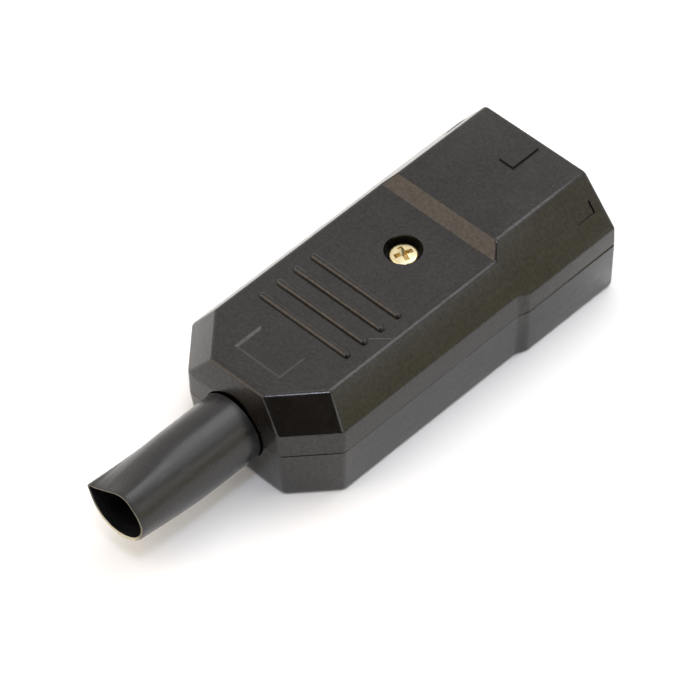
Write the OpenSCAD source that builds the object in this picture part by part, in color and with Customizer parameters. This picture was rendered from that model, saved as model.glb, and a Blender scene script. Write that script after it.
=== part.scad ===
// Rewireable C13 mains connector: two moulded half shells round a socket insert with three brass
// contacts, a cable clamp and a soft cable sleeve, held together by one central screw.
// The origin lies on the mating face, midway between the line and neutral slots. The mating face
// looks along +Y, +Z points from those slots to the earth slot, and x = 0 is the plane of symmetry.
// Heights in this file are counted from the flat base; place() moves every piece to the origin.

/* [Engagement section] */
// Width across the sides at the mating face
face_w = 24; // [23.6:0.1:25]
// Height from the base to the raised top
face_h = 15.4; // [15:0.1:16.4]
// Length of the raised top, from the mating face to the ramp
face_len = 14.1; // [13.5:0.1:16]
// Length of the ramp down to the grip
ramp_len = 1.8; // [1.4:0.1:3]

/* [Grip] */
// Width across the sides of the grip
grip_w = 23.1; // [22.6:0.1:23.4]
// Height from the base to the top of the grip
grip_h = 13.85; // [13.6:0.05:14.6]
// Length of the rigid body, from the mating face to the rear wall
body_len = 47.4; // [46.8:0.2:56]
// Width of each rear chamfer, measured on the top face
chamfer_w = 4.95; // [3.8:0.05:5.2]
// Length of each rear chamfer, measured on the top face
chamfer_l = 5.5; // [4.4:0.1:6.2]
// How far the rear wall leans out between the top face and the shoulder
rear_lean = 0.8; // [0.4:0.1:1.2]

/* [Cross-section] */
// Height of the plane where the two half shells meet
parting_z = 7; // [6.8:0.05:7.4]
// Height of the lower edge of the long top bevels at the engagement section
shoulder_z = 9.6; // [9.2:0.05:10]
// Angle of the long top bevels above the horizontal
bevel_angle = 52.2; // [48:0.2:56]
// Draft of the lower sides of the engagement section
face_draft = 0.45; // [0.2:0.05:0.6]
// Draft of the lower sides of the grip
grip_draft = 0.6; // [0.3:0.05:0.9]
// Wall round the socket insert
rim_wall = 1.7; // [1.5:0.05:1.9]
// Wall of the grip
wall = 1.4; // [1.2:0.05:1.6]

/* [Edges] */
// Radius of the edges round the top faces
edge_r = 0.75; // [0.4:0.05:1]
// Radius of the lower edges of the bevels
shoulder_r = 0.4; // [0.2:0.05:0.6]
// Radius of the edges round the mating face
front_r = 0.4; // [0.2:0.05:0.6]
// Radius of the edges round the base
base_r = 0.6; // [0.3:0.05:0.9]
// Width of the two eased edges that meet at the parting line of the engagement section
face_lip = 0.2; // [0.1:0.02:0.3]
// Width of the two eased edges that meet at the parting line of the grip
grip_lip = 0.08; // [0.04:0.01:0.15]
// Radius of the upright corners of the rear chamfers
corner_r = 0.9; // [0.5:0.1:1.4]
// Radius of the corners between the top bevels
mitre_r = 0.6; // [0.3:0.05:0.8]

/* [Grip ribs and label field] */
// Number of raised ribs
rib_count = 4; // [2:1:5]
// Distance from one rib to the next
rib_pitch = 2.6; // [2.2:0.1:2.8]
// Length of a rib
rib_len = 13.5; // [10:0.1:14.5]
// Width of a rib
rib_w = 0.9; // [0.7:0.05:1.2]
// Height of a rib
rib_h = 0.45; // [0.35:0.05:0.6]
// Distance from the last rib to the label field
rib_gap = 3.15; // [2.6:0.05:3.6]
// Width of the sunk label field
label_w = 6.9; // [4:0.1:7.4]
// Length of the sunk label field
label_l = 4.1; // [3:0.1:4.4]
// Distance from the label field to the rear edge of the top
label_gap = 3.05; // [2.8:0.05:3.4]
// Depth of the label field
label_depth = 0.14; // [0.08:0.02:0.24]
// Depth of the small fields on the long bevels
field_depth = 0.2; // [0.1:0.05:0.3]

/* [Socket] */
// Distance between the line and neutral slots
pin_pitch = 14; // [13.6:0.1:14.2]
// Height of the earth slot above the line and neutral slots
earth_rise = 4; // [3.8:0.1:4.2]
// Height of the line and neutral slots above the base
pin_z = 5.7; // [5.5:0.05:6]
// Width of a slot
slot_w = 2.5; // [2.3:0.05:2.8]
// Height of a slot
slot_h = 4.5; // [4.2:0.05:4.6]
// Thickness of the mating pin
pin_t = 2; // [1.8:0.05:2.1]
// Depth from the mating face to the root of the contacts
contact_depth = 16.4; // [16:0.1:17]
// Thickness of the contact leaves
leaf_t = 0.5; // [0.4:0.05:0.6]

/* [Terminals] */
// Distance from the mating face to the line and neutral terminal screws
terminal_y = 22.6; // [22:0.1:23.4]
// Diameter of the terminal screws
terminal_d = 2.9; // [2.5:0.1:3.1]
// Room between the earth strap and the live terminal tabs, for the partitions
tab_gap = 1.4; // [1.2:0.1:1.6]
// Thickness of a terminal tab and of a wire washer
tab_t = 0.8; // [0.6:0.05:1]

/* [Housing screw] */
// Distance from the mating face to the housing screw
screw_y = 21.1; // [21:0.05:21.4]
// Diameter of the well in the top cover
well_d = 4.4; // [4.1:0.05:4.6]
// Diameter of the screw head
head_d = 3.5; // [3.2:0.05:3.8]
// Depth of the rim of the head below the top of the grip
head_sink = 0.95; // [0.6:0.05:1.2]
// Thread diameter of the housing screw
thread_d = 2; // [1.8:0.1:2.2]

/* [Cable clamp] */
// Largest cable diameter that the clamp takes
cable_d = 7.2; // [6.6:0.1:7.4]
// Distance from the flange of the sleeve to the clamp screws
clamp_gap = 5.5; // [5:0.1:6]
// Distance between the clamp screws
clamp_pitch = 12.8; // [12.6:0.1:13.2]

/* [Cable sleeve] */
// Outer diameter of the sleeve where it leaves the body
sleeve_d = 8.4; // [8.2:0.1:9]
// Wall of the sleeve
sleeve_wall = 0.6; // [0.5:0.05:0.8]
// Length of the sleeve outside the body
sleeve_len = 17.5; // [14:0.5:24]
// Width of the pressed open end
mouth_w = 9.4; // [8.6:0.1:10]
// Height of the pressed open end
mouth_h = 7.2; // [5.2:0.1:8]
// How far the open end bends up
mouth_lift = 0.4; // [0:0.1:1]
// Diameter of the flange held inside the body
flange_d = 11.2; // [10.8:0.1:11.4]
// Thickness of the flange
flange_t = 1.6; // [1.2:0.1:1.8]

/* [Hidden] */

// Clearances and small sizes
fit = 0.1;           // between moulded pieces that slide together
running = 0.05;      // between a shank and its hole, on the radius
over = 1;            // how far a cut runs past the face it opens
skin = 0.01;         // thickness of the slices that hulls are built from

// Shell
rear_wall = 4.8;     // from the cavity to the rear face, holds the sleeve flange
face_half = face_w / 2;
grip_half = grip_w / 2;
ramp_end = face_len + ramp_len;
foot_shoulder = shoulder_z + (face_half - grip_half) * tan(bevel_angle);
top_half = face_half - (grip_h - shoulder_z) / tan(bevel_angle);
chamfer_y = body_len - rear_lean - chamfer_l;          // start of the chamfer on the top face
chamfer_run = norm([chamfer_w, chamfer_l]);
chamfer_n = [chamfer_l, -chamfer_w] / chamfer_run;     // outward normal of the right chamfer in plan
chamfer_d = chamfer_n * [top_half, -chamfer_y];        // distance of the chamfer from the origin
bevel_drop = (grip_h - foot_shoulder) / tan(bevel_angle);

// Housing screw and its boss
head_h = 0.9;
seat_z = grip_h - head_sink - head_h;
cover_boss_d = well_d + 2;
boss_gap_z = seat_z - 1.8;                             // plane where cover boss and shell boss meet
boss_d = thread_d + 2.8;
insert_d = thread_d + 1.2;
insert_l = 6;

// Contacts and terminals
pin_x = pin_pitch / 2;
earth_z = pin_z + earth_rise;
chamber_w = pin_t + 4 * leaf_t - 0.2;
leaf_h = slot_h - 0.5;
tab_z = pin_z - leaf_h / 2;                            // underside of the line and neutral tabs
earth_tab_z = earth_z - leaf_h / 2;
strap_x = boss_d / 2 + 0.25;                           // inner face of the earth strap
strap_h = boss_gap_z - 0.3 - earth_tab_z;
tab_inner = strap_x + leaf_t + tab_gap;                // inner edge of a live tab
tab_w = side_x(grip_half, grip_draft, tab_z) - wall - fit - tab_inner;
tab_x = tab_inner + tab_w / 2;
tab_l = tab_w + 1.6;
terminal_head_d = tab_w - 0.2;
terminal_head_h = 1.8;

// Insert
insert_end = face_len - 0.9;
insert_rear = contact_depth + 1;
key_y = 9.4;
key_l = 2;
key_h = 0.8;

// Cable path
cable_z = parting_z - 0.05;
flange_y = body_len - rear_wall + 0.3;                 // inner face of the flange
clamp_y = flange_y - clamp_gap;
clamp_t = 1.4;                                         // wall of the clamp's arch
clamp_l = 3.8;
clamp_bar_t = 1.8;
clamp_z = parting_z + 0.8;
clamp_head_d = 3.6;
clamp_head_h = 1.3;
clamp_screw_d = 2.4;
clamp_shank = 6.2;
saddle_t = 2;
earth_y = (screw_y + boss_d / 2 + clamp_y - clamp_l / 2) / 2;   // midway between boss and clamp

module place() { translate([0, 0, -pin_z]) children(); }

// ---------- Shell outline ----------

// Half width of the bevel plane at height z, moved inwards by inset
function bevel_x(z, inset = 0) =
    face_half - (z - shoulder_z) / tan(bevel_angle) - inset / sin(bevel_angle);

// Height at which the inset bevel plane meets the inset side of a section of half width half
function shoulder(half, inset = 0) =
    shoulder_z + (face_half - half + inset - inset / sin(bevel_angle)) * tan(bevel_angle);

// Half width of the lower side at height z
function side_x(half, draft, z) = half - draft * (parting_z - z) / parting_z;

// Inset cross-section in x and z, both sides
function right_section(half, draft, top, inset) = [
    [side_x(half, draft, inset) - inset, inset],
    [half - inset, parting_z],
    [half - inset, shoulder(half, inset)],
    [bevel_x(top - inset, inset), top - inset]
];
function mirrored(points) = concat(points, [for (i = [len(points) - 1:-1:0]) [-points[i].x, points[i].y]]);

// The two rear corners of the right side in plan, where the chamfer line meets the side and the rear
function rear_corners(x, d, y) = [
    [x, (d - chamfer_n.x * x) / chamfer_n.y],
    [(d - chamfer_n.y * y) / chamfer_n.x, y]
];
// Rear corners of the upright walls with a given draft and inset
function wall_corners(draft, inset) = rear_corners(
    grip_half - draft - inset,
    chamfer_d + bevel_drop - draft - inset,
    -body_len + draft + inset
);

// Eased edge between the mating face and the sides: [depth, inset] from the face to the full section
function face_edge() = [for (a = [0:30:90]) [front_r * (1 - cos(a)), front_r * (1 - sin(a))]];

// Ramp from 0 to 1 whose two corners are rounded over the share c of its length
function soft_ramp(t, c = 0.2) =
    t <= 0 ? 0 : t >= 1 ? 1 :
    t < c ? t * t / (2 * c * (1 - c)) :
    t < 1 - c ? (t - c / 2) / (1 - c) :
    1 - (1 - t) * (1 - t) / (2 * c * (1 - c));
function ease(t) = t <= 0 ? 0 : t >= 1 ? 1 : t * t * (3 - 2 * t);

// Where the sides step in from the engagement section to the grip, as shares of the ramp
step_from = -0.28;
step_to = 0.78;
function step_at(t) = ease((t - step_from) / (step_to - step_from));
function lip_at(t) = face_lip + (grip_lip - face_lip) * step_at(t);
step_stations = [-0.28, -0.1, 0, 0.1, 0.2, 0.35, 0.5, 0.65, 0.8, 0.9, 1];

// Directions round the rounded edges below and above a bevel, as angles above the horizontal
shoulder_turns = [for (i = [0:3]) (90 - bevel_angle) * i / 3];
edge_turns = [for (i = [0:6]) 90 - bevel_angle * (1 - i / 6)];

// Right side of the upper form at one depth, from the parting line up round the two edges of the bevel
function upper_row(y, half, top, lip, inset = 0) = concat(
    [[half - inset - lip, -y, parting_z], [half - inset, -y, parting_z + lip]],
    [for (a = shoulder_turns)
        [half - inset - shoulder_r * (1 - cos(a)), -y, shoulder(half, inset + shoulder_r) + shoulder_r * sin(a)]],
    [for (a = edge_turns) let (mid_z = top - inset - edge_r)
        [bevel_x(mid_z, edge_r + inset) + edge_r * cos(a), -y, mid_z + edge_r * sin(a)]]
);

// Levels of the lower form as [inset, z], from the base round its edge up to the parting line
function lower_levels(lip) = concat(
    [for (a = [0:30:90]) [base_r * (1 - sin(a)), base_r * (1 - cos(a))]],
    [[0, parting_z - lip], [lip, parting_z]]);
function lower_row(y, half, draft, lip, inset = 0) = [
    for (v = lower_levels(lip)) let (z = inset + v[1] * (1 - inset / parting_z))
        [side_x(half, draft, z) - v[0] - inset, -y, z]];

// Points along a rounded corner at c between the directions u and v
function fillet(c, u, v, r) =
    let (reach = r / tan(acos(u * v) / 2))
    [for (i = [0:4]) let (t = i / 4)
        (1 - t) * (1 - t) * (c + u * reach) + 2 * t * (1 - t) * c + t * t * (c + v * reach)];
function rounded_rear(corners, r) =
    let (along = (corners[1] - corners[0]) / norm(corners[1] - corners[0]))
    concat(fillet(corners[0], [0, 1], along, r), fillet(corners[1], -along, [-1, 0], r));

// Rear end of a form: for each level, the two rounded corners in plan at height z
function rear_outlines_upper() = let (low_z = shoulder(grip_half, shoulder_r), mid_z = grip_h - edge_r) concat(
    [for (v = [[grip_lip, parting_z], [0, parting_z + grip_lip]])
        [v[1], rounded_rear(wall_corners(0, v[0]), corner_r)]],
    [for (a = shoulder_turns) let (inset = shoulder_r * (1 - cos(a)))
        [low_z + shoulder_r * sin(a), rounded_rear(
            rear_corners(grip_half - inset, chamfer_d + bevel_drop - inset, -body_len), corner_r)]],
    [for (i = [0:len(edge_turns) - 1]) let (
        a = edge_turns[i],
        z = mid_z + edge_r * sin(a),
        x = bevel_x(mid_z, edge_r) + edge_r * cos(a),
        d = chamfer_d + (grip_h - mid_z) / tan(bevel_angle) - edge_r / sin(bevel_angle) + edge_r * cos(a),
        y = -body_len + rear_lean + edge_r - edge_r * cos(i * 90 / (len(edge_turns) - 1)))
        [z, rounded_rear(rear_corners(x, d, y), mitre_r)]]
);
function rear_outlines_lower() = [
    for (v = lower_levels(grip_lip))
        [v[1], rounded_rear(wall_corners(grip_draft * (parting_z - v[1]) / parting_z, v[0]), corner_r)]];

// Turns the outlines of the levels into rows of one point per level
function rear_rows(outlines) = [
    for (i = [0:len(outlines[0][1]) - 1])
        [for (o = outlines) [o[1][i].x, o[1][i].y, o[0]]]];

// Solid between rows of points on the right side and their mirror images on the left
module symmetric_loft(rows) {
    n = len(rows);
    m = len(rows[0]);
    right = [for (i = [0:n - 1]) [for (j = [0:m - 1]) i * m + j]];
    left = [for (i = [0:n - 1]) [for (j = [0:m - 1]) (n + i) * m + j]];
    polyhedron(
        [for (side = [1, -1], row = rows, p = row) [side * p.x, p.y, p.z]],
        [
            for (i = [0:n - 2], j = [0:m - 2]) each [
                [right[i][j], right[i + 1][j], right[i + 1][j + 1]],
                [right[i][j], right[i + 1][j + 1], right[i][j + 1]],
                [left[i][j], left[i + 1][j + 1], left[i + 1][j]],
                [left[i][j], left[i][j + 1], left[i + 1][j + 1]]
            ],
            for (i = [0:n - 2]) each [
                [right[i + 1][0], right[i][0], left[i][0], left[i + 1][0]],
                [right[i][m - 1], right[i + 1][m - 1], left[i + 1][m - 1], left[i][m - 1]]
            ],
            for (j = [0:m - 2]) each [
                [right[0][j], right[0][j + 1], left[0][j + 1], left[0][j]],
                [right[n - 1][j + 1], right[n - 1][j], left[n - 1][j], left[n - 1][j + 1]]
            ]
        ], convexity = 6);
}

module upper_form() {
    symmetric_loft(concat(
        [for (e = face_edge()) upper_row(e[0], face_half, face_h, face_lip, e[1])],
        [for (t = step_stations) upper_row(
            face_len + ramp_len * t,
            face_half + (grip_half - face_half) * step_at(t),
            face_h + (grip_h - face_h) * soft_ramp(t),
            lip_at(t))],
        rear_rows(rear_outlines_upper())
    ));
}

module lower_form() {
    symmetric_loft(concat(
        [for (e = face_edge()) lower_row(e[0], face_half, face_draft, face_lip, e[1])],
        [for (t = step_stations) lower_row(
            face_len + ramp_len * t,
            face_half + (grip_half - face_half) * step_at(t),
            face_draft + (grip_draft - face_draft) * step_at(t),
            lip_at(t))],
        rear_rows(rear_outlines_lower())
    ));
}

module both_sides() {
    children();
    mirror([1, 0, 0]) children();
}

// Prism of an inset cross-section between two depths behind the face
module section_prism(half, draft, top, inset, from, to) {
    translate([0, -from, 0]) rotate([90, 0, 0])
        linear_extrude(to - from) polygon(mirrored(right_section(half, draft, top, inset)));
}

// Slice of the grip cavity: straight sides from the front, then the two rear corners
module cavity_slice(z, x, corners) {
    translate([0, 0, z]) linear_extrude(skin)
        polygon(mirrored(concat([[x, -insert_end]], corners)));
}
cavity_rear = -body_len + rear_wall;
function cavity_corners(x, d) = rear_corners(x, d, cavity_rear);

module upper_cavity() {
    top = grip_h - wall;
    hull() {
        for (z = [parting_z - over, shoulder(grip_half, wall)])
            cavity_slice(z, grip_half - wall,
                cavity_corners(grip_half - wall, chamfer_d + bevel_drop - wall));
        cavity_slice(top - skin, bevel_x(top, wall),
            cavity_corners(bevel_x(top, wall), chamfer_d + (wall - wall / cos(bevel_angle)) / tan(bevel_angle)));
    }
}

module lower_cavity() {
    foot_x = side_x(grip_half, grip_draft, wall) - wall;
    hull() {
        cavity_slice(wall, foot_x, cavity_corners(foot_x, chamfer_d + bevel_drop - grip_draft - wall));
        cavity_slice(parting_z + over, grip_half - wall,
            cavity_corners(grip_half - wall, chamfer_d + bevel_drop - wall));
    }
}

// Pocket of the socket insert, with the groove for its key
module insert_pocket() {
    section_prism(face_half, face_draft, face_h, rim_wall, -over, insert_end + skin);
    section_prism(face_half, face_draft, face_h, rim_wall - key_h - fit, key_y - fit, key_y + key_l + fit);
}

// Passage of the sleeve through the rear wall, with the groove for its flange
module sleeve_passage() {
    translate([0, 0, cable_z]) rotate([90, 0, 0]) {
        translate([0, 0, -cavity_rear - over]) cylinder(d = sleeve_d + 2 * fit, h = rear_wall + 2 * over, $fn = 64);
        translate([0, 0, flange_y - fit]) cylinder(d = flange_d + 2 * fit, h = flange_t + fit, $fn = 64);
    }
}

// ---------- Details of the top cover ----------

// Closed solid between rings of points that lie one above the other
module ring_stack(stack) {
    n = len(stack);
    m = len(stack[0]);
    polyhedron([for (ring = stack, p = ring) p], [
        [for (j = [0:m - 1]) j],
        [for (j = [m - 1:-1:0]) (n - 1) * m + j],
        for (i = [0:n - 2], j = [0:m - 1]) let (k = (j + 1) % m) each [
            [i * m + j, (i + 1) * m + j, (i + 1) * m + k],
            [i * m + j, (i + 1) * m + k, i * m + k]
        ]], convexity = 4);
}

// Outline of a bar with round ends, r is half its width
function bar_ring(length, r, z) = [
    for (side = [1, -1], a = [-90:22.5:90])
        [side * (length / 2 - r + r * cos(a)), side * r * sin(a), z]];

// Half-round rib with round ends, standing on z = 0
module grip_rib() {
    profile = concat(
        [[0, -wall / 2]],
        [for (a = [0:10:80]) [-rib_w / 2 * (1 - cos(a)), rib_h * sin(a)]]
    );
    ring_stack([for (p = profile) bar_ring(rib_len + 2 * p[0], rib_w / 2 + p[0], p[1])]);
}

label_y = body_len - rear_lean - label_gap - label_l / 2;
last_rib_y = label_y - label_l / 2 - rib_gap;

module grip_ribs() {
    for (i = [0:rib_count - 1])
        translate([0, -last_rib_y + i * rib_pitch, grip_h]) grip_rib();
}

// Sunk field whose four sides slope down to its floor
label_slope = 0.35;
module label_field() {
    floor_w = label_w - 2 * label_slope;
    floor_l = label_l - 2 * label_slope;
    translate([0, -label_y, grip_h - label_depth])
        linear_extrude(2 * label_depth, scale = [2 * label_w / floor_w - 1, 2 * label_l / floor_l - 1])
            square([floor_w, floor_l], center = true);
}

// Small raised pad on the top of the engagement section
pad = [2.1, 4.1, 0.25];
pad_pos = [0.35, -3.15];
module top_pad() {
    translate([pad_pos.x - pad.x / 2, pad_pos.y - pad.y / 2, face_h - wall / 2])
        cube([pad.x, pad.y, pad.z + wall / 2]);
}

// Small sunk field on each long bevel, near the mating face
bevel_field = [1.6, 2.8];
module bevel_fields() {
    mid_z = (shoulder_z + face_h) / 2;
    both_sides() translate([bevel_x(mid_z), -2.85, mid_z]) rotate([0, bevel_angle, 0])
        translate([-bevel_field.x / 2, -bevel_field.y / 2, -field_depth])
            cube([bevel_field.x, bevel_field.y, over]);
}

module top_cover() {
    color("#454341") place() difference() {
        union() {
            difference() {
                upper_form();
                upper_cavity();
                insert_pocket();
            }
            grip_ribs();
            top_pad();
            translate([0, -screw_y, boss_gap_z]) cylinder(d = cover_boss_d, h = grip_h - wall / 2 - boss_gap_z, $fn = 48);
        }
        translate([0, -screw_y, seat_z]) cylinder(d = well_d, h = grip_h, $fn = 64);
        translate([0, -screw_y, 0]) cylinder(d = thread_d + 4 * running, h = grip_h, $fn = 32);
        label_field();
        bevel_fields();
        sleeve_passage();
    }
}

// ---------- Bottom shell ----------

// Block under a terminal tab, hollow where the screw tip comes through
module tab_support(x, y, z) {
    length = tab_l + 2 * fit;
    translate([x, -y, 0]) difference() {
        translate([-tab_w / 2, -length / 2, wall / 2]) cube([tab_w, length, z - wall / 2]);
        cylinder(d = terminal_d + 1, h = z + over, $fn = 32);
    }
}

// Wall between the earth strap and each live terminal
module partition(side) {
    t = tab_gap / 3;
    translate([side * (tab_inner - tab_gap / 2) - t / 2, -terminal_y - tab_l / 2, wall / 2])
        cube([t, tab_l, earth_tab_z - wall / 2 + 0.6]);
}

module clamp_saddle() {
    difference() {
        translate([-clamp_pitch / 2, -clamp_y - saddle_t / 2, wall / 2])
            cube([clamp_pitch, saddle_t, parting_z - wall / 2]);
        translate([0, -clamp_y + saddle_t, cable_z]) rotate([90, 0, 0])
            cylinder(d = cable_d, h = 2 * saddle_t, $fn = 64);
    }
    for (side = [-1, 1]) translate([side * clamp_pitch / 2, -clamp_y, wall / 2])
        cylinder(d = clamp_screw_d + 1.6, h = clamp_z - wall / 2, $fn = 32);
}

module bottom_shell() {
    color("#4a4846") place() difference() {
        union() {
            difference() {
                lower_form();
                lower_cavity();
                insert_pocket();
            }
            translate([0, -screw_y, wall / 2]) cylinder(d = boss_d, h = boss_gap_z - wall / 2, $fn = 48);
            tab_support(tab_x, terminal_y, tab_z);
            tab_support(-tab_x, terminal_y, tab_z);
            tab_support(0, earth_y, earth_tab_z);
            for (side = [-1, 1]) partition(side);
            clamp_saddle();
        }
        translate([0, -screw_y, boss_gap_z - insert_l]) cylinder(d = insert_d + 2 * running, h = insert_l + over, $fn = 48);
        translate([0, -screw_y, boss_gap_z - insert_l - 1.5]) cylinder(d = thread_d + 4 * running, h = 3, $fn = 32);
        for (side = [-1, 1]) translate([side * clamp_pitch / 2, -clamp_y, wall + 1])
            cylinder(d = clamp_screw_d + 2 * running, h = clamp_z, $fn = 32);
        sleeve_passage();
    }
}

// ---------- Socket insert ----------

// Slot with a lead-in, opening into a chamber that is open at the rear
module contact_cavity(x, z) {
    lead = 0.35;
    wall_front = 2.2;
    translate([x, 0, z]) {
        translate([-slot_w / 2, -wall_front - over, -slot_h / 2]) cube([slot_w, wall_front + 2 * over, slot_h]);
        hull() {
            translate([-slot_w / 2 - lead, 0, -slot_h / 2 - lead]) cube([slot_w + 2 * lead, over, slot_h + 2 * lead]);
            translate([-slot_w / 2, -lead, -slot_h / 2]) cube([slot_w, skin, slot_h]);
        }
        translate([-chamber_w / 2, -insert_rear - over, -slot_h / 2])
            cube([chamber_w, insert_rear + over - wall_front, slot_h]);
    }
}

module socket_insert() {
    deck_z = pin_z + slot_h / 2 + 0.8;
    tower_w = chamber_w + 1.4;
    color("#3b3a39") place() difference() {
        union() {
            section_prism(face_half, face_draft, face_h, rim_wall + fit, 0, insert_end);
            section_prism(face_half, face_draft, face_h, rim_wall - key_h, key_y, key_y + key_l);
            intersection() {
                section_prism(grip_half, grip_draft, grip_h, wall + fit, insert_end, insert_rear);
                union() {
                    translate([-grip_half, -insert_rear, 0]) cube([grip_w, insert_rear, deck_z]);
                    translate([-tower_w / 2, -insert_rear, 0]) cube([tower_w, insert_rear, grip_h]);
                }
            }
        }
        for (side = [-1, 1]) contact_cavity(side * pin_x, pin_z);
        contact_cavity(0, earth_z);
        // way out for the earth strap
        translate([0, -insert_rear - over, earth_tab_z - fit])
            cube([strap_x + leaf_t + fit, insert_rear + over - contact_depth + fit, grip_h]);
    }
}

// ---------- Contacts and terminals ----------

// Right leaf of the fork in plan: straight from the root, pinched in near the tip, flared at the mouth
tip_y = 3;
pinch_y = 6;
belly_y = 9.5;
root_x = pin_t / 2 + 0.3;
pinch_x = pin_t / 2 - 0.05;
function leaf_line() = [[root_x, -contact_depth], [root_x, -belly_y], [pinch_x, -pinch_y], [root_x, -tip_y]];

module contact_fork() {
    line = leaf_line();
    last = len(line) - 1;
    outer = [for (i = [last:-1:0]) line[i] + [leaf_t, 0]];
    linear_extrude(leaf_h) {
        polygon(concat(line, outer));
        mirror([1, 0]) polygon(concat(line, outer));
        translate([-root_x - leaf_t, -contact_depth - leaf_t]) square([2 * (root_x + leaf_t), leaf_t + skin]);
    }
}

module tab_plate(x, y) {
    translate([x - tab_w / 2, -y - tab_l / 2, 0]) cube([tab_w, tab_l, tab_t]);
}

module live_contact() {
    neck_w = chamber_w - 0.6;
    color("#c8a54a") place() difference() {
        union() {
            translate([0, 0, tab_z]) contact_fork();
            translate([0, 0, tab_z]) tab_plate(tab_x - pin_x, terminal_y);
            translate([-neck_w / 2, -terminal_y, tab_z]) cube([neck_w, terminal_y - contact_depth, tab_t]);
        }
        translate([tab_x - pin_x, -terminal_y, 0]) cylinder(d = terminal_d + 2 * running, h = grip_h, $fn = 32);
    }
}

module line_contact() { translate([pin_x, 0, 0]) live_contact(); }
module neutral_contact() { mirror([1, 0, 0]) translate([pin_x, 0, 0]) live_contact(); }

// The earth strap runs past the screw boss on the right and folds into a tab behind it
module earth_contact() {
    front = contact_depth;
    back = earth_y - tab_w / 2;
    color("#c8a54a") place() difference() {
        translate([0, 0, earth_tab_z]) {
            contact_fork();
            translate([root_x, -front - leaf_t, 0]) cube([strap_x + leaf_t - root_x, leaf_t, strap_h]);
            translate([strap_x, -back, 0]) cube([leaf_t, back - front, strap_h]);
            tab_plate(0, earth_y);
            translate([0, -back, 0]) cube([strap_x + leaf_t, 1.6, tab_t]);
        }
        translate([0, -earth_y, 0]) cylinder(d = terminal_d + 2 * running, h = grip_h, $fn = 32);
    }
}

// Square washer with two turned-up edges that keep the wire under the screw
module wire_washer(x, y, z) {
    size = tab_w - 0.2;
    lip = 0.4;
    color("#b9bbbd") place() translate([x, -y, z]) difference() {
        union() {
            translate([-size / 2, -size / 2, 0]) cube([size, size, tab_t]);
            for (side = [0, 1]) mirror([0, side, 0])
                translate([-size / 2, -size / 2 - lip, 0]) cube([size, lip, tab_t + 0.5]);
        }
        translate([0, 0, -over]) cylinder(d = terminal_d + 4 * running, h = tab_t + 2 * over, $fn = 32);
    }
}
module line_wire_washer() { wire_washer(tab_x, terminal_y, tab_z + tab_t); }
module neutral_wire_washer() { wire_washer(-tab_x, terminal_y, tab_z + tab_t); }
module earth_wire_washer() { wire_washer(0, earth_y, earth_tab_z + tab_t); }

// Cross recess of a screw, tapering to its floor
module cross_recess(reach, blade, depth) {
    intersection() {
        union() for (a = [0, 90]) rotate(a) translate([-reach, -blade / 2, -depth]) cube([2 * reach, blade, depth + over]);
        translate([0, 0, -depth]) cylinder(r1 = reach * 0.45, r2 = reach * (1 + over / depth), h = depth + over, $fn = 32);
    }
}

// Pan head with a rounded upper edge, standing on z = 0, and a plain shank below it
module pan_screw(d, head, height, shank, turn = 0) {
    crown = height * 0.35;
    rise = head * 0.5;
    difference() {
        union() {
            rotate_extrude($fn = 48) polygon(concat(
                [[0, 0], [head / 2, 0]],
                [for (i = [0:6]) let (a = i * 90 / 6)
                    [rise - crown + crown * cos(a), height - crown + crown * sin(a)]],
                [[0, height + head * 0.04]]
            ));
            translate([0, 0, -shank]) cylinder(d = d, h = shank + skin, $fn = 32);
        }
        translate([0, 0, height]) rotate(turn) cross_recess(head * 0.31, head * 0.17, height * 0.75);
    }
}

module terminal_screw(x, y, z, turn) {
    color("#b9bbbd") place() translate([x, -y, z + 2 * tab_t])
        pan_screw(terminal_d, terminal_head_d, terminal_head_h, 2 * tab_t + 1.6, turn);
}
module line_terminal_screw() { terminal_screw(tab_x, terminal_y, tab_z, 12); }
module neutral_terminal_screw() { terminal_screw(-tab_x, terminal_y, tab_z, 47); }
module earth_terminal_screw() { terminal_screw(0, earth_y, earth_tab_z, 70); }

// ---------- Cable clamp ----------

module cable_clamp() {
    color("#2f2e2d") place() difference() {
        union() {
            translate([-clamp_pitch / 2, -clamp_y - clamp_l / 2, clamp_z]) cube([clamp_pitch, clamp_l, clamp_bar_t]);
            for (side = [-1, 1]) translate([side * clamp_pitch / 2, -clamp_y, clamp_z])
                cylinder(d = clamp_l, h = clamp_bar_t, $fn = 48);
            translate([0, -clamp_y + clamp_l / 2, cable_z]) rotate([90, 0, 0])
                cylinder(d = cable_d + 2 * clamp_t, h = clamp_l, $fn = 64);
        }
        translate([0, -clamp_y + clamp_l, cable_z]) rotate([90, 0, 0])
            cylinder(d = cable_d, h = 2 * clamp_l, $fn = 64);
        translate([-face_w, -clamp_y - clamp_l, clamp_z - grip_h]) cube([2 * face_w, 2 * clamp_l, grip_h]);
        for (side = [-1, 1]) translate([side * clamp_pitch / 2, -clamp_y, 0])
            cylinder(d = clamp_screw_d + 4 * running, h = grip_h, $fn = 32);
    }
}

module clamp_screw(side) {
    turn = 25;
    color("#b9bbbd") place() translate([side * clamp_pitch / 2, -clamp_y, clamp_z + clamp_bar_t])
        pan_screw(clamp_screw_d, clamp_head_d, clamp_head_h, clamp_shank, side * turn);
}
module left_clamp_screw() { clamp_screw(-1); }
module right_clamp_screw() { clamp_screw(1); }

// ---------- Cable sleeve ----------

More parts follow.
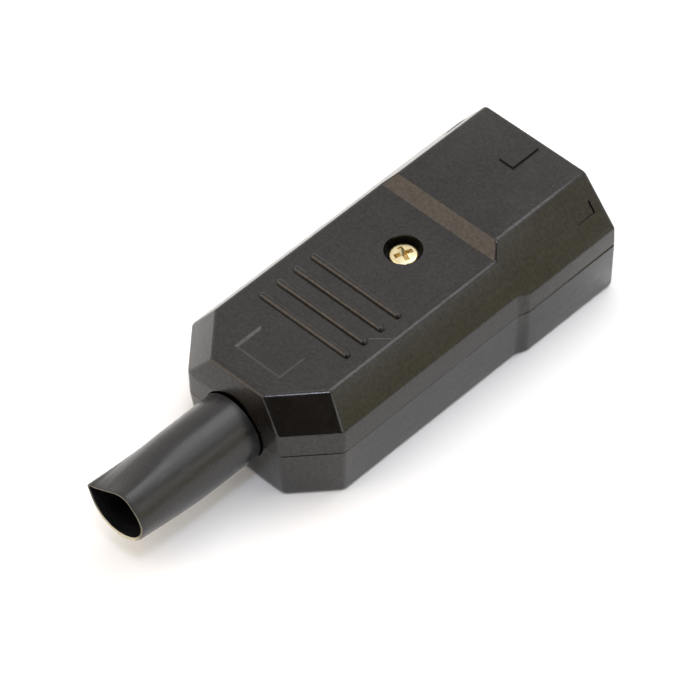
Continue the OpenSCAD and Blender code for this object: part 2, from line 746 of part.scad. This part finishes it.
sides = 40;
root_y = body_len + 0.6;                       // where the free part of the sleeve begins
root_lap = 0.4;                                // how far the round root reaches into the free part
root_step = 0.05;                              // by how much the free part is larger than the root
free_len = body_len + sleeve_len - root_y;
press_from = 0.45;                             // share of the free length that stays round
mouth_tilt = 12.6;                             // turn of the pressed mouth about the sleeve's axis
mouth_pinch = 0.12;                            // how sharp the crease at the left of the mouth is
press_stations = concat([0], [for (i = [0:7]) press_from + (1 - press_from) * i / 7]);

// Point at angle a of a circle, and of the pressed mouth, which is creased where a is 180
function round_point(r, a) = [r * cos(a), r * sin(a)];
function mouth_point(w, h, a) =
    let (p = [w / 2 * cos(a), h / 2 * sin(a) * pow(abs(cos(a / 2)), mouth_pinch)])
    [p.x * cos(mouth_tilt) - p.y * sin(mouth_tilt), p.y * cos(mouth_tilt) + p.x * sin(mouth_tilt) + mouth_lift];

// Point at angle a and share t of the free length, depth below the outer face
function sleeve_point(a, t, depth) = let (
    k = t <= press_from ? 0 : pow((t - press_from) / (1 - press_from), 1.5),
    c = round_point(sleeve_d / 2 + root_step - depth, a),
    m = mouth_point(mouth_w - 2 * depth, mouth_h - 2 * depth, a))
    [(1 - k) * c.x + k * m.x, -root_y - free_len * t, cable_z + (1 - k) * c.y + k * m.y];

// Solid whose skin is a grid of points closed both ways
module ring_loft(rows) {
    n = len(rows);
    m = len(rows[0]);
    polyhedron([for (row = rows, p = row) p], [
        for (i = [0:n - 1], j = [0:m - 1]) let (k = (i + 1) % n, l = (j + 1) % m) each [
            [i * m + j, i * m + l, k * m + l],
            [i * m + j, k * m + l, k * m + j]
        ]], convexity = 4);
}

module free_sleeve() {
    last = len(press_stations) - 1;
    ring_loft([for (j = [0:sides - 1]) let (a = j * 360 / sides) concat(
        [for (t = press_stations) sleeve_point(a, t, 0)],
        [for (i = [last:-1:0]) sleeve_point(a, press_stations[i], sleeve_wall)]
    )]);
}

module cable_sleeve() {
    color("#33363a") place() {
        translate([0, 0, cable_z]) rotate([90, 0, 0]) difference() {
            union() {
                translate([0, 0, flange_y]) cylinder(d = flange_d, h = flange_t, $fn = 64);
                translate([0, 0, flange_y])
                    cylinder(d = sleeve_d, h = root_y + root_lap - flange_y, $fn = 72);
            }
            translate([0, 0, flange_y - over])
                cylinder(d = sleeve_d - 2 * sleeve_wall, h = root_y - flange_y + 2 * over, $fn = 72);
        }
        free_sleeve();
    }
}

// ---------- Housing screw ----------

module housing_screw() {
    color("#d8b95c") place() translate([0, -screw_y, seat_z])
        pan_screw(thread_d, head_d, head_h + 0.3, seat_z - boss_gap_z + insert_l + 0.6, -21);
}

module threaded_insert() {
    color("#c8a54a") place() translate([0, -screw_y, boss_gap_z - insert_l]) difference() {
        cylinder(d = insert_d, h = insert_l, $fn = 48);
        translate([0, 0, -over]) cylinder(d = thread_d + 2 * running, h = insert_l + 2 * over, $fn = 32);
    }
}

top_cover();
bottom_shell();
socket_insert();
line_contact();
neutral_contact();
earth_contact();
line_wire_washer();
neutral_wire_washer();
earth_wire_washer();
line_terminal_screw();
neutral_terminal_screw();
earth_terminal_screw();
cable_clamp();
left_clamp_screw();
right_clamp_screw();
cable_sleeve();
housing_screw();
threaded_insert();
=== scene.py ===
import math

import bpy
from mathutils import Matrix, Vector


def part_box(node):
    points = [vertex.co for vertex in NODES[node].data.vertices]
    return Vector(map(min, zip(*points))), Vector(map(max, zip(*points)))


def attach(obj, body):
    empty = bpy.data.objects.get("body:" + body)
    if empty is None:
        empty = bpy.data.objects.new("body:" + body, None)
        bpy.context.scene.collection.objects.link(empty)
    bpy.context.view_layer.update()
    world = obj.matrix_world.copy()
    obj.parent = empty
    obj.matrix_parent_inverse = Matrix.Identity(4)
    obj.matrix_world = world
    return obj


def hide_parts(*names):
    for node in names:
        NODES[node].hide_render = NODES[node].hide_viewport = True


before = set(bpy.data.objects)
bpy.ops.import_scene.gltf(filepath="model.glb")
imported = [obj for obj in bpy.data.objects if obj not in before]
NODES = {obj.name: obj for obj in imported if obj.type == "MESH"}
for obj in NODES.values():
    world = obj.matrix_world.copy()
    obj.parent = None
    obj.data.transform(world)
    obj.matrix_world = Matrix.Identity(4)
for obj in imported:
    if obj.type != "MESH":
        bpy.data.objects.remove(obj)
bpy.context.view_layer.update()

MM = 0.001
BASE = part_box("bottom_shell")[0].z          # height of the flat base in the shared frame


# ---------------------------------------------------------------- node helpers

class Graph:
    """A small wrapper that keeps node set-up short."""

    def __init__(self, tree):
        self.tree = tree
        tree.nodes.clear()

    def node(self, kind, inputs=None, **settings):
        made = self.tree.nodes.new(kind)
        for key, value in settings.items():
            setattr(made, key, value)
        for key, value in (inputs or {}).items():
            self.put(made.inputs[key], value)
        return made

    def put(self, socket, value):
        if isinstance(value, bpy.types.NodeSocket):
            self.tree.links.new(value, socket)
        else:
            socket.default_value = value

    def math(self, operation, a, b=0.0):
        return self.node("ShaderNodeMath", {0: a, 1: b}, operation=operation).outputs[0]

    def remap(self, value, low, high, to_low=0.0, to_high=1.0, kind="SMOOTHSTEP"):
        made = self.node("ShaderNodeMapRange", {0: value, 1: low, 2: high, 3: to_low, 4: to_high},
                         interpolation_type=kind)
        return made.outputs[0]

    def mix(self, factor, a, b):
        made = self.node("ShaderNodeMix", data_type="RGBA")
        self.put(made.inputs[0], factor)
        self.put(made.inputs[6], a)
        self.put(made.inputs[7], b)
        return made.outputs[2]

    def noise(self, place, scale, detail=2.0, rough=0.5):
        made = self.node("ShaderNodeTexNoise", {"Vector": place, "Scale": scale, "Detail": detail,
                                                "Roughness": rough})
        return made.outputs[0]

    def place(self, scale=(1.0, 1.0, 1.0)):
        here = self.node("ShaderNodeTexCoord").outputs["Object"]
        return self.node("ShaderNodeMapping", {"Vector": here, "Scale": scale}).outputs[0]

    def split(self, vector):
        return self.node("ShaderNodeSeparateXYZ", {0: vector}).outputs

    def dot(self, vector, direction):
        unit = Vector(direction).normalized()
        return self.node("ShaderNodeVectorMath", {0: vector, 1: tuple(unit)},
                         operation="DOT_PRODUCT").outputs["Value"]

    def surface(self, height, depth, inputs):
        """Ends a material: a principled surface with a bump of that depth in millimetres."""
        bump = self.node("ShaderNodeBump", {"Height": height, "Strength": 1.0, "Distance": depth * MM})
        shader = self.node("ShaderNodeBsdfPrincipled", {**inputs, "Normal": bump.outputs[0]})
        self.node("ShaderNodeOutputMaterial", {"Surface": shader.outputs[0]})


def rgba(r, g, b):
    return (r, g, b, 1.0)


def scaled(colour, factor, lift=0.0):
    return rgba(*(c * factor + lift for c in colour))


def material(name):
    made = bpy.data.materials.new(name)
    made.use_nodes = True
    return made, Graph(made.node_tree)


# ---------------------------------------------------------------- materials

PLASTIC_IOR = 1.5
# Noise scales, in waves per metre
DRIFT, RUB, GRAIN, SPECKS, MOTTLE = 260.0, 1400.0, 7500.0, 5200.0, 2600.0


def plastic(name, colour, rough, mark=None):
    """Moulded plastic: fine grain, soft drift of tone, rub marks in the gloss, a few pale specks."""
    made, g = material(name)
    here = g.place()
    drift = g.noise(here, DRIFT, 3.0, 0.55)
    rub = g.noise(g.place((1.0, 0.35, 1.0)), RUB, 5.0, 0.62)
    grain = g.noise(here, GRAIN, 2.0, 0.6)
    speck = g.remap(g.noise(here, SPECKS, 1.0, 0.4), 0.73, 0.80)
    mottle = g.noise(here, MOTTLE, 3.0, 0.6)
    shade = g.mix(g.remap(drift, 0.3, 0.7), scaled(colour, 0.8), scaled(colour, 1.2))
    shade = g.mix(g.math("MULTIPLY", speck, 0.5), shade, scaled(colour, 1.5, 0.005))
    if mark:
        shade = g.mix(scratch(g, *mark), shade, rgba(0.075, 0.072, 0.068))
    gloss = g.math("ADD", g.remap(rub, 0.25, 0.75, rough - 0.05, rough + 0.06),
                   g.math("MULTIPLY", speck, 0.12))
    g.surface(grain, 0.004, {
        "Base Color": shade, "Roughness": gloss, "IOR": PLASTIC_IOR,
        "Specular IOR Level": g.remap(mottle, 0.25, 0.75, 0.36, 0.64, kind="LINEAR")})
    return made


def scratch(g, start, end, above_z):
    """1 on a hairline mark between two points in plan, on what lies above that height."""
    start, end = Vector(start) * MM, Vector(end) * MM
    here = g.place()
    run = (end - start).normalized()
    side = Vector((-run.y, run.x, 0.0))
    along = g.math("SUBTRACT", g.dot(here, run), start.dot(run))
    across = g.math("ABSOLUTE", g.math("SUBTRACT", g.dot(here, side), start.dot(side)))
    fade = g.remap(across, 0.07 * MM, 0.02 * MM, kind="LINEAR")
    length = (end - start).length
    inside = g.math("MULTIPLY", g.remap(along, 0.0, 0.3 * MM), g.remap(along, length, length - 0.5 * MM))
    above = g.math("GREATER_THAN", g.split(here)[2], above_z)
    return g.math("MULTIPLY", g.math("MULTIPLY", fade, inside), above)


def metal(name, colour, rough, stained=None):
    """Plated metal: turned or rolled streaks, slight staining."""
    made, g = material(name)
    here = g.place()
    streak = g.noise(g.place((1.0, 1.0, 9.0)), 1500.0, 3.0, 0.6)
    stain = g.noise(here, 700.0, 4.0, 0.6)
    shade = g.mix(g.remap(stain, 0.4, 0.75), rgba(*colour), rgba(*stained) if stained else scaled(colour, 0.72))
    g.surface(streak, 0.004, {"Base Color": shade, "Metallic": 1.0,
                              "Roughness": g.remap(streak, 0.3, 0.7, rough - 0.05, rough + 0.1)})
    return made


def sleeve_plastic():
    """Softer, slightly bluish plastic of the sleeve, with scuffs along its length."""
    made, g = material("sleeve_plastic")
    here = g.place()
    drift = g.noise(here, 420.0, 3.0, 0.55)
    grain = g.noise(here, 7000.0, 2.0, 0.6)
    scuff = g.remap(g.noise(g.place((1.0, 0.25, 1.0)), 1900.0, 4.0, 0.6), 0.62, 0.72)
    shade = g.mix(g.remap(drift, 0.3, 0.7), rgba(0.0085, 0.0085, 0.0092), rgba(0.0125, 0.0125, 0.0135))
    shade = g.mix(g.math("MULTIPLY", scuff, 0.35), shade, rgba(0.05, 0.047, 0.044))
    g.surface(grain, 0.006, {"Base Color": shade, "IOR": PLASTIC_IOR,
                             "Roughness": g.remap(drift, 0.3, 0.7, 0.22, 0.30)})
    return made


def cut_rim_painted_light():
    """The cut end of the sleeve, coloured with painted light: matt olive, darker along the top, with a pale
    painted highlight along the bottom.
    """
    made, g = material("sleeve_cut_rim")
    here = g.place()
    tone = g.remap(g.noise(here, 1800.0, 4.0, 0.6), 0.35, 0.65)
    # painted highlight: pale low on the rim and darker towards the top, standing in for how light falls on the
    # cut end
    low = g.remap(g.split(here)[2], BASE + 6.8 * MM, BASE + 4.6 * MM)
    shade = g.mix(low, rgba(0.10, 0.09, 0.05), rgba(0.60, 0.56, 0.41))
    shade = g.mix(g.math("MULTIPLY", tone, 0.3), shade, rgba(0.10, 0.09, 0.05))
    g.surface(tone, 0.02, {"Base Color": shade, "Roughness": 0.45, "IOR": PLASTIC_IOR})
    return made


HAIRLINE = ((6.26, -33.13, 0.0), (8.37, -31.16, 0.0), BASE + 13 * MM)
housing = plastic("housing_plastic", (0.0086, 0.0074, 0.0064), 0.20, mark=HAIRLINE)
insert = plastic("insert_plastic", (0.010, 0.009, 0.008), 0.30)
clamp = plastic("clamp_plastic", (0.03, 0.028, 0.026), 0.40)
brass = metal("contact_brass", (0.80, 0.62, 0.32), 0.28)
steel = metal("plated_steel", (0.62, 0.61, 0.58), 0.26)
yellow = metal("yellow_steel", (0.80, 0.70, 0.45), 0.22, (0.64, 0.48, 0.22))

FINISH = {
    "top_cover": housing, "bottom_shell": housing, "socket_insert": insert, "cable_clamp": clamp,
    "line_contact": brass, "neutral_contact": brass, "earth_contact": brass, "threaded_insert": brass,
    "housing_screw": yellow,
}                                           # every other node is plated steel

# Edges sharper than these stay crisp; the cover's is less than the slope of its label recess
SOFT_TURN, COVER_TURN, SLEEVE_TURN = (math.radians(a) for a in (32.0, 20.5, 50.0))


def smooth(obj, angle):
    """Shades a piece smooth except across edges sharper than the angle."""
    mesh = obj.data
    for name in ("custom_normal", "sharp_face", "sharp_edge"):
        if name in mesh.attributes:
            mesh.attributes.remove(mesh.attributes[name])
    mesh.shade_smooth()
    weld = obj.modifiers.new("weld", "WELD")
    weld.merge_threshold = 0.002 * MM
    obj.modifiers.new("soften", "NODES").node_group = angle_group(angle)


def angle_group(angle):
    """The shared node group that marks edges up to the angle as smooth."""
    name = f"smooth_by_{round(math.degrees(angle))}"
    if name in bpy.data.node_groups:
        return bpy.data.node_groups[name]
    tree = bpy.data.node_groups.new(name, "GeometryNodeTree")
    tree.interface.new_socket("Geometry", in_out="INPUT", socket_type="NodeSocketGeometry")
    tree.interface.new_socket("Geometry", in_out="OUTPUT", socket_type="NodeSocketGeometry")
    g = Graph(tree)
    start = g.node("NodeGroupInput")
    turn = g.node("GeometryNodeInputMeshEdgeAngle")
    gentle = g.node("FunctionNodeCompare", {0: turn.outputs[0], 1: angle}, data_type="FLOAT",
                    operation="LESS_EQUAL")
    faces = g.node("GeometryNodeSetShadeSmooth", {0: start.outputs[0]}, domain="FACE")
    edges = g.node("GeometryNodeSetShadeSmooth", {0: faces.outputs[0], 2: gentle.outputs[0]},
                   domain="EDGE")
    g.node("NodeGroupOutput", {0: edges.outputs[0]})
    return tree


for name, obj in NODES.items():
    obj.data.materials.clear()
    obj.data.materials.append(FINISH.get(name, steel))
    smooth(obj, COVER_TURN if name == "top_cover" else SOFT_TURN)


# ---------------------------------------------------------------- the sleeve

AXIS_Z = BASE + 7.1 * MM                    # height from which the mouth's outline is measured
ROOT_Z = BASE + 6.95 * MM                   # height of the round root's axis
ROOT_Y, MOUTH_Y = -47.6, -64.9              # in millimetres, as all sizes of the sleeve below
ROOT_R = 4.2
ROOT_WALL = 0.62
ROUND_SHARE = 0.42                          # part of the length that stays round
PRESS_CURVE = 1.5                           # how slowly the pressed form sets in
# Outer radius of the mouth, every 10 degrees from the right side towards the top
MOUTH = [4.10, 4.24, 4.30, 4.28, 4.24, 4.24, 4.26, 4.17, 3.90, 3.59, 3.36, 3.24,
         3.24, 3.31, 3.52, 3.89, 4.53, 4.17, 3.88, 3.67, 3.54, 3.45, 3.37, 3.30,
         3.24, 3.20, 3.16, 3.13, 3.13, 3.15, 3.21, 3.30, 3.42, 3.56, 3.73, 3.91]
SIDES = 144
ROWS = 34


def around(values, turn):
    """Periodic cubic interpolation of values spaced evenly round a turn."""
    n = len(values)
    at = (turn % 1.0) * n
    i = int(math.floor(at))
    t = at - i
    a, b, c, d = (values[(i + k) % n] for k in (-1, 0, 1, 2))
    return b + 0.5 * t * (c - a + t * (2 * a - 5 * b + 4 * c - d + t * (3 * (b - c) + d - a)))


def wall_at(turn):
    """Wall of the pressed mouth: thin along the top, thick along the bottom."""
    return 0.36 + 0.18 * math.cos(2 * math.pi * turn - math.radians(285.0))


def sleeve_mesh():
    """A round tube pressed out of round towards its open end, with a rim in a material of its own, coloured
    with painted light.
    """
    vertices, faces, rims = [], [], []
    stations = [0.0, 0.03] + [0.06 + 0.94 * i / ROWS for i in range(ROWS + 1)]

    def ring(y, share, outward, inset=0.0):
        first = len(vertices)
        for k in range(SIDES):
            turn = k / SIDES
            a = 2 * math.pi * turn
            mouth = around(MOUTH, turn) - (0.0 if outward else wall_at(turn))
            root = ROOT_R if outward else ROOT_R - ROOT_WALL
            r = root + (mouth - root) * share - inset
            centre = ROOT_Z + (AXIS_Z - ROOT_Z) * share
            vertices.append((r * math.cos(a) * MM, y * MM, centre + r * math.sin(a) * MM))
        return first

    def row(t, end_gap, outward):
        y = ROOT_Y + (MOUTH_Y + end_gap - ROOT_Y) * t
        return ring(y, max(0.0, (t - ROUND_SHARE) / (1 - ROUND_SHARE)) ** PRESS_CURVE, outward)

    def join(a, b):
        for k in range(SIDES):
            n = (k + 1) % SIDES
            faces.append((a + k, a + n, b + n, b + k))

    def join_rim(a, b):
        rims.extend(range(len(faces), len(faces) + SIDES))
        join(a, b)

    outside = [row(t, 0.1, True) for t in stations]
    outer_lip = ring(MOUTH_Y + 0.02, 1.0, True, 0.03)
    rim_out = ring(MOUTH_Y, 1.0, True, 0.07)
    rim_in = ring(MOUTH_Y, 1.0, False, -0.04)
    inner_lip = ring(MOUTH_Y + 0.03, 1.0, False, -0.01)
    inside = [row(t, 0.15, False) for t in reversed(stations)]
    for a, b in zip(outside, outside[1:]):
        join(b, a)
    join(outer_lip, outside[-1])
    join_rim(rim_out, outer_lip)
    join_rim(rim_in, rim_out)
    join_rim(inner_lip, rim_in)
    for a, b in zip([inner_lip] + inside, inside):
        join(b, a)
    join(outside[0], inside[-1])
    mesh = bpy.data.meshes.new("sleeve")
    mesh.from_pydata(vertices, [], faces)
    mesh.materials.append(sleeve_plastic())
    mesh.materials.append(cut_rim_painted_light())
    for index in rims:
        mesh.polygons[index].material_index = 1
    mesh.shade_smooth()
    mesh.update()
    return mesh


sleeve = bpy.data.objects.new("sleeve", sleeve_mesh())
bpy.context.scene.collection.objects.link(sleeve)
sleeve.modifiers.new("soften", "NODES").node_group = angle_group(SLEEVE_TURN)
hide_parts("cable_sleeve")
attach(sleeve, "root")


# ---------------------------------------------------------------- floor

REACH = 1.5
CORNERS = [(-REACH, -REACH, BASE), (REACH, -REACH, BASE), (REACH, REACH, BASE), (-REACH, REACH, BASE)]
floor_mesh = bpy.data.meshes.new("floor")
floor_mesh.from_pydata(CORNERS, [], [(0, 1, 2, 3)])
floor = bpy.data.objects.new("floor", floor_mesh)
bpy.context.scene.collection.objects.link(floor)
floor_finish, g = material("floor_white")
matt = g.node("ShaderNodeBsdfDiffuse", {"Color": rgba(0.97, 0.975, 0.98)})
open_sky = g.node("ShaderNodeAmbientOcclusion", {"Distance": 0.08}).outputs["AO"]
path = g.node("ShaderNodeLightPath")
seen = g.math("MAXIMUM", path.outputs["Is Camera Ray"], path.outputs["Is Glossy Ray"])
lift = g.math("ADD", g.math("MULTIPLY", open_sky, 0.05), 0.02)      # small, and less in the shadow
glow = g.node("ShaderNodeEmission", {"Color": rgba(1.0, 1.0, 1.0), "Strength": g.math("MULTIPLY", lift, seen)})
lit = g.node("ShaderNodeAddShader", {0: matt.outputs[0], 1: glow.outputs[0]})
g.node("ShaderNodeOutputMaterial", {"Surface": lit.outputs[0]})
floor_mesh.materials.append(floor_finish)


# ---------------------------------------------------------------- light

SKY = (1.03, 1.0, 0.965)
# Soft round patches of light: direction, core and edge in degrees, brightness
PATCHES = [
    ((0.67, -0.58, 0.46), 24, 44, (0.0, 0.0, 0.0)),             # dark room on the camera's side
    ((0.84, 0.46, 0.29), 10, 26, (0.92, 0.85, 0.56)),           # dim warm wall, in the right bevels
    ((0.77, 0.46, 0.45), 4, 9, (1.9, 1.9, 1.85)),               # edge light on the sleeve's right
    ((-0.49, -0.66, 0.57), 14, 34, (2.5, 2.1, 1.7)),            # warm light, in the ramp
    ((0.31, 0.46, 0.83), 8, 18, (2.0, 2.0, 2.0)),               # the sleeve's highlight
    ((-0.05, 0.46, 0.88), 9, 20, (3.3, 3.3, 3.3)),
    ((0.88, -0.15, 0.45), 6, 14, (2.5, 2.5, 2.5)),              # the mitre edge's highlight
    ((0.30, -0.207, 0.927), 2.5, 6.5, (20.0, 21.0, 25.0)),      # small cool lamp, for the glints
]

world = bpy.data.worlds.new("studio")
bpy.context.scene.world = world
world.use_nodes = True
g = Graph(world.node_tree)
toward = g.node("ShaderNodeTexCoord").outputs["Generated"]
sky = rgba(*SKY)
for direction, core, edge, value in PATCHES:
    mask = g.remap(g.dot(toward, direction), math.cos(math.radians(edge)), math.cos(math.radians(core)))
    sky = g.mix(mask, sky, rgba(*value))
light = g.node("ShaderNodeBackground", {"Color": sky, "Strength": 1.0})
backdrop = g.node("ShaderNodeBackground", {"Color": rgba(1, 1, 1), "Strength": 1.0})
path = g.node("ShaderNodeLightPath")
both = g.node("ShaderNodeMixShader", {0: path.outputs["Is Camera Ray"], 1: light.outputs[0],
                                      2: backdrop.outputs[0]})
g.node("ShaderNodeOutputWorld", {"Surface": both.outputs[0]})


# ---------------------------------------------------------------- camera

camera_data = bpy.data.cameras.new("camera")
camera_data.lens = 257.142857
camera_data.sensor_width = 36.0
camera_data.clip_start = 0.01
camera_data.clip_end = 10.0
camera = bpy.data.objects.new("camera", camera_data)
bpy.context.scene.collection.objects.link(camera)
camera.matrix_world = Matrix((
    (0.71238834, -0.50610216, 0.48617225, 0.265435),
    (0.70108741, 0.54412891, -0.46086892, -0.281397),
    (-0.03129362, 0.66916689, 0.74245295, 0.404244),
    (0.0, 0.0, 0.0, 1.0)))
bpy.context.scene.camera = camera
bpy.context.scene.view_settings.view_transform = "Standard"
